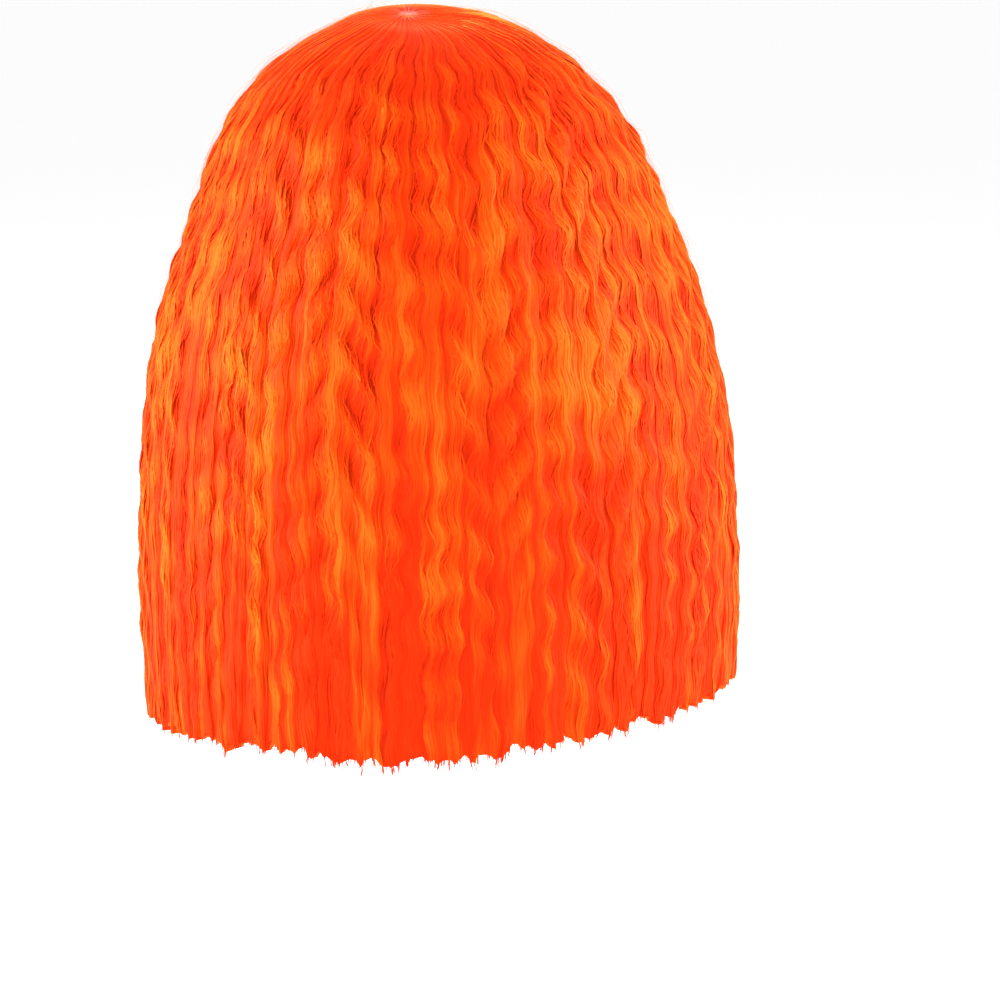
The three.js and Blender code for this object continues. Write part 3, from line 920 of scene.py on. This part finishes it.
WEFTS = {
    "middle_weft": {"span": (-24.0, 204.0), "root": -0.070, "hem": -0.305, "inset": 0.0135},
    "nape_weft": {"span": (18.0, 162.0), "root": -0.108, "hem": -0.299, "inset": 0.020},
}
WEFT_RADIUS = 0.11
WEFT_LOCK_WIDTH = 0.009
WEFT_TUFT, WEFT_TUFT_RATE = 0.004, 41.0
WEFT_FINE_TUFT, WEFT_FINE_TUFT_RATE = 0.003, 113.0
WEFT_CRIMP_GROWS = (0.02, 0.08)
WEFT_LIFTS = (0.0, 0.04)
WEFT_SEAT_GAP = 0.0009
WEFT_HANG_GAP = 0.004
WEFT_RIB_HEIGHT = 0.0017
WEFT_OUTER_RIB_SHARE = 0.5
WEFT_THICKNESS = (0.0018, 0.0032)
WEFT_RIB_ROOM = 0.0012
WEFT_MAP_START = 0.12


def weft_curtain(name, columns, rows, materials):
    """Inner weft: two ribbed skins on a grid of angle and height, sewn to the cap along the root."""
    weft = WEFTS[name]
    shape = bpy.context.scene.wig_shape
    angle = np.radians(np.linspace(*weft["span"], columns))[:, None]
    tip = WEFT_TUFT * np.abs(np.sin(WEFT_TUFT_RATE * angle))
    tip = tip + WEFT_FINE_TUFT * np.sin(WEFT_FINE_TUFT_RATE * angle)
    drop = np.linspace(0.0, 1.0, rows)[None, :]
    z = weft["root"] + (weft["hem"] - tip - weft["root"]) * drop
    fallen = weft["root"] - z
    foot, direction, reach, cap = ray_to(outline(angle, place_at_height(z)))
    swing = shape.crimp_sway * smooth(fallen, *WEFT_CRIMP_GROWS) * np.sin(crimp_phase(angle, fallen))
    sideways = WEFT_RADIUS * angle + swing
    rib = ribs(sideways, WEFT_LOCK_WIDTH)
    lift = smooth(fallen, *WEFT_LIFTS)
    inner = mix(cap + WEFT_SEAT_GAP, reach - weft["inset"] - WEFT_HANG_GAP, lift)
    relief = lift * WEFT_RIB_HEIGHT * rib
    outer = inner + mix(*WEFT_THICKNESS, lift) + WEFT_OUTER_RIB_SHARE * relief
    inner = inner + lift * WEFT_RIB_ROOM - relief
    skins = [foot + direction * d[..., None] for d in (outer, inner)]
    points = np.concatenate([s.swapaxes(0, 1).reshape(-1, 3) for s in skins])
    maps = curtain_maps(sideways, fallen + WEFT_MAP_START)
    # The ribs' height goes to the tint as painted shade in their hollows and painted light on their crests
    heights = np.concatenate([rib.T.ravel()] * 2)
    add_piece(
        f"{name}_hair", points, curtain_faces(rows, columns), maps, materials["under"],
        [name], heights,
    )


# Cap and scalp patch

CAP_FIRST_RING = 0.02
CAP_RING_SPREAD = 1.7
CAP_MAP_WIDTH = 0.25
CAP_MAP_FLARE = 1.2
CAP_MAP_FILL = 0.8

SCALP_RADII = (0.0004, 0.024)
SCALP_RING_SPREAD = 1.6
SCALP_GAP = 0.00035
SCALP_THICKNESS = 0.0012
SCALP_MIDDLE_RISE = 0.0034
SCALP_MIDDLE_TILT = 0.3
SCALP_MIDDLE_EDGE = (0.0020, 0.0036)
SCALP_MAP_WIDTH = 0.06


def dome(angle, z, grow):
    """Cap surface at an angle and height: the head's ellipse there, drawn in towards the crown."""
    rise = np.clip((z + HEAD_RISE) / (HEAD_RISE + grow), 0.0, 1.0)
    share = (1.0 - rise**HEAD_ROUNDNESS) ** (1.0 / HEAD_ROUNDNESS)
    direction = np.stack([np.cos(angle), np.sin(angle), np.zeros_like(angle)], axis=-1)
    reach = (head_reach(direction, z) - CAP_WALL + grow) * share
    return np.concatenate([direction[..., :2] * reach[..., None], z[..., None]], axis=-1)


def cap_rim(angle):
    """Height of the cap's edge, smooth from the forehead over the ear to the nape."""
    from_forehead = np.degrees(np.abs((angle + 1.5 * math.pi) % (2 * math.pi) - math.pi))
    degrees = np.linspace(0.0, 180.0, 181)
    heights = np.interp(degrees, CAP_RIM_ANGLES, CAP_RIM_HEIGHTS)
    padded = np.pad(heights, CAP_RIM_SOFTENING // 2, mode="reflect")
    weights = np.hanning(CAP_RIM_SOFTENING)
    soft = np.convolve(padded, weights / weights.sum(), mode="valid")
    return np.interp(from_forehead, degrees, soft)


def cap_net(columns, rows, material):
    """Cap: rings from the crown down the outside to the rim and back up the inside."""
    angle = np.linspace(0.0, 2 * math.pi, columns, endpoint=False)[None, :]
    share = (np.linspace(CAP_FIRST_RING, 1.0, rows) ** CAP_RING_SPREAD)[:, None]
    skins = []
    for grow, order in ((CAP_WALL, 1), (0.0, -1)):
        z = grow + (cap_rim(angle) - grow) * share
        skins.append(dome(np.broadcast_to(angle, z.shape), z, grow)[::order])
    points = np.concatenate(skins).reshape(-1, 3)
    spread = points[:, :2] / CAP_MAP_WIDTH * (1.0 - points[:, 2:] * CAP_MAP_FLARE)
    uv = np.clip(0.5 + spread * CAP_MAP_FILL, 0.0, 1.0)
    add_piece(
        "wig_cap_net", points, closed_dome_faces(2 * rows, columns), {BAKE_MAP: uv}, material,
        CAP_NODES,
    )


def scalp_skin(columns, rings, material):
    """Scalp patch: discs laid on the cap about the whorl, with a raised middle that fills the whorl."""
    whorl = dict(zip(RING_COLUMNS, HAIR_RINGS[0]))
    centre = np.array([whorl["centre_x"], whorl["centre_y"]])
    angle = np.linspace(0.0, 2 * math.pi, columns, endpoint=False)[None, :]
    radius = mix(*SCALP_RADII, np.linspace(0.0, 1.0, rings) ** SCALP_RING_SPREAD)[:, None]
    x, y = centre[0] + radius * np.cos(angle), centre[1] + radius * np.sin(angle)
    core = np.array([0.0, 0.0, -HEAD_RISE])
    direction = unit(np.stack([x, y, np.zeros((rings, columns))], axis=-1) - core)
    under = head_reach(direction, 0.0) + SCALP_GAP
    raised = SCALP_MIDDLE_RISE - SCALP_MIDDLE_TILT * radius * np.sin(angle)
    top = under + SCALP_THICKNESS + raised * (1.0 - smooth(radius, *SCALP_MIDDLE_EDGE))
    skins = [core + direction * top[..., None], (core + direction * under[..., None])[::-1]]
    points = np.concatenate(skins).reshape(-1, 3)
    uv = 0.5 + (points[:, :2] - centre) / SCALP_MAP_WIDTH
    add_piece(
        "scalp_patch_skin", points, closed_dome_faces(2 * rings, columns), {BAKE_MAP: uv}, material,
        ["scalp_patch"],
    )


# Operators

# Columns and rows of points in each piece
CAP_GRID = (96, 34)
SCALP_GRID = (48, 16)
WEFT_GRIDS = {"middle_weft": (150, 44), "nape_weft": (100, 36)}
BODY_GRIDS = {
    "left_side_hair": (96, 80),
    "back_hair": (220, 80),
    "right_side_hair": (96, 80),
    "bangs": (96, 40),
}

# Strands of each piece: part of the hair, how many, points along each, how loose and how long at most
STRANDS = {
    "back_hair_strands": ("back_hair", 540, 56, 1.0, 1.0),
    "back_hair_more_strands": ("back_hair", 540, 56, 1.0, 1.0),
    "left_side_hair_strands": ("left_side_hair", 400, 56, 1.0, 1.0),
    "right_side_hair_strands": ("right_side_hair", 400, 56, 1.0, 1.0),
    "bangs_strands": ("bangs", 340, 34, 1.0, 1.0),
    "back_hair_loose_strands": ("back_hair", 160, 24, 6.0, 0.11),
    "left_side_hair_loose_strands": ("left_side_hair", 200, 24, 6.0, 0.11),
    "right_side_hair_loose_strands": ("right_side_hair", 200, 24, 6.0, 0.11),
}

# Share of the next lighter colour in the deepest tint, and in the other tints of the bodies; being less
# than whole, these paint shade into the bodies under the strands
DARKEST_SHARE, UNDER_MIDDLE_SHARE, UNDER_LIGHT_SHARE = 0.25, 0.8, 0.6

CAP_ROUGHNESS = 0.75
SCALP_ROUGHNESS = 0.55
UNDER_ROUGHNESS, UNDER_BUMP = 0.65, 0.25
STRAND_ROUGHNESS, STRAND_BUMP = 0.5, 0.0

# Lights of the stage: name, place and power
LAMPS = (
    ("left", (1.75, 0.15, 0.25), 72.0),
    ("right", (-1.75, 0.15, 0.25), 58.0),
    ("face", (0.3, -1.8, 0.3), 12.0),
)
LAMP_SIZE = 1.2
LAMP_AIM = (0.0, 0.0, -0.15)
FLOOR_HALF = 400.0
FLOOR_COLOUR = (0.97, 0.97, 0.97)
FLOOR_ROUGHNESS = 0.8
SKY_COLOUR = (1.0, 1.0, 1.0, 1.0)
SKY_STRENGTH = 1.0
FARTHEST_SEEN = 1000.0


def hair_materials():
    """The two hair finishes: the bodies and wefts, tinted deeper as painted shade under the strands, and
    the lighter single strands.
    """
    colours = bpy.context.scene.wig_colours
    deep, middle, light = (np.array(c) for c in (colours.deep, colours.middle, colours.light))
    darkest = mix(deep, middle, DARKEST_SHARE)
    # The bodies' tints are pulled deeper: painted shade under the strands
    under = (darkest, mix(deep, middle, UNDER_MIDDLE_SHARE), mix(middle, light, UNDER_LIGHT_SHARE))
    kinds = {
        "under": (under, UNDER_ROUGHNESS, UNDER_BUMP),
        "strand": ((darkest, middle, light), STRAND_ROUGHNESS, STRAND_BUMP),
    }
    made = {}
    for kind, (stops, roughness, bump) in kinds.items():
        name = f"hair_{kind}"
        stops = [tuple(stop) for stop in stops]
        found = bpy.data.materials.get(name)
        made[kind] = found or hair_material(name, stops, tuple(colours.scalp), roughness, bump)
    return made


class WIG_OT_cap(bpy.types.Operator):
    """Makes the stretch cap"""

    bl_idname = "wig.cap"
    bl_label = "Cap"

    def execute(self, context):
        cap_net(*CAP_GRID, net_material("cap_net", context.scene.wig_colours.cap, CAP_ROUGHNESS))
        return {"FINISHED"}


class WIG_OT_scalp(bpy.types.Operator):
    """Makes the scalp patch on the cap"""

    bl_idname = "wig.scalp"
    bl_label = "Scalp patch"

    def execute(self, context):
        colour = context.scene.wig_colours.scalp
        scalp_skin(*SCALP_GRID, plain_material("scalp_skin", colour, SCALP_ROUGHNESS))
        return {"FINISHED"}


class WIG_OT_wefts(bpy.types.Operator):
    """Makes the inner wefts that hang round the back"""

    bl_idname = "wig.wefts"
    bl_label = "Inner wefts"

    def execute(self, context):
        materials = hair_materials()
        for name, grid in WEFT_GRIDS.items():
            weft_curtain(name, *grid, materials)
        return {"FINISHED"}


class WIG_OT_bodies(bpy.types.Operator):
    """Makes the soft body of each part of the crown hair"""

    bl_idname = "wig.bodies"
    bl_label = "Hair bodies"

    def execute(self, context):
        materials = hair_materials()
        for sector, grid in BODY_GRIDS.items():
            hair_body(sector, *grid, materials)
        return {"FINISHED"}


class WIG_OT_strands(bpy.types.Operator):
    """Makes the fine strands that lie on the crown hair"""

    bl_idname = "wig.strands"
    bl_label = "Strands"

    def execute(self, context):
        materials = hair_materials()
        for number, (name, (sector, count, rows, loose, longest)) in enumerate(STRANDS.items()):
            generator = np.random.default_rng(SEED + number)
            hair_strands(name, sector, count, rows, loose, longest, generator, materials)
        return {"FINISHED"}


class WIG_OT_stage(bpy.types.Operator):
    """Makes the pale floor, the soft lights and the camera"""

    bl_idname = "wig.stage"
    bl_label = "Stage"

    def execute(self, context):
        scene = context.scene
        stage = scene.wig_stage
        scene.view_settings.view_transform = "Standard"
        z = cad_box[0][2] - stage.floor_drop
        corners = [(x * FLOOR_HALF, y * FLOOR_HALF, z) for x, y in ((-1, -1), (1, -1), (1, 1), (-1, 1))]
        mesh = bpy.data.meshes.new("floor")
        mesh.from_pydata(corners, [], [(0, 1, 2, 3)])
        mesh.materials.append(plain_material("floor_pale", FLOOR_COLOUR, FLOOR_ROUGHNESS))
        floor = bpy.data.objects.new("floor", mesh)
        scene.collection.objects.link(floor)

        world = bpy.data.worlds.new("studio")
        world.use_nodes = True
        sky = world.node_tree.nodes["Background"]
        sky.inputs["Color"].default_value = SKY_COLOUR
        sky.inputs["Strength"].default_value = SKY_STRENGTH
        scene.world = world

        for name, place, power in LAMPS:
            lamp = bpy.data.lights.new(name, "AREA")
            lamp.size = LAMP_SIZE
            lamp.energy = power
            made = bpy.data.objects.new(name, lamp)
            made.location = place
            made.rotation_euler = (Vector(LAMP_AIM) - Vector(place)).to_track_quat("-Z", "Y").to_euler()
            scene.collection.objects.link(made)

        camera = bpy.data.cameras.new("camera")
        camera.lens = camera.sensor_width * stage.distance / stage.view_width
        camera.clip_end = FARTHEST_SEEN
        seen = bpy.data.objects.new("camera", camera)
        seen.location = (0.0, stage.distance, stage.camera_height)
        seen.rotation_euler = (Vector(stage.aim) - seen.location).to_track_quat("-Z", "Y").to_euler()
        scene.collection.objects.link(seen)
        scene.camera = seen
        return {"FINISHED"}


class WIG_PT_panel(bpy.types.Panel):
    """Lists the wig's sizes, colours and operators"""

    bl_idname = "WIG_PT_panel"
    bl_label = "Wig"
    bl_space_type = "VIEW_3D"
    bl_region_type = "UI"
    bl_category = "Wig"

    def draw(self, context):
        for group in (context.scene.wig_shape, context.scene.wig_colours, context.scene.wig_stage):
            for name in group.bl_rna.properties.keys():
                if name not in ("rna_type", "name"):
                    self.layout.prop(group, name)
        for operator in OPERATORS:
            self.layout.operator(operator.bl_idname)


OPERATORS = (WIG_OT_cap, WIG_OT_scalp, WIG_OT_wefts, WIG_OT_bodies, WIG_OT_strands, WIG_OT_stage)
GROUPS = {"wig_shape": WigShape, "wig_colours": WigColours, "wig_stage": WigStage}


def register():
    for group in (*GROUPS.values(), *OPERATORS, WIG_PT_panel):
        bpy.utils.register_class(group)
    for name, group in GROUPS.items():
        setattr(bpy.types.Scene, name, PointerProperty(type=group))


def unregister():
    for name in GROUPS:
        delattr(bpy.types.Scene, name)
    for group in reversed((*GROUPS.values(), *OPERATORS, WIG_PT_panel)):
        bpy.utils.unregister_class(group)


def main():
    register()
    bpy.ops.wig.cap()
    bpy.ops.wig.scalp()
    bpy.ops.wig.wefts()
    bpy.ops.wig.bodies()
    bpy.ops.wig.strands()
    bpy.ops.wig.stage()


if __name__ == "__main__":
    main()
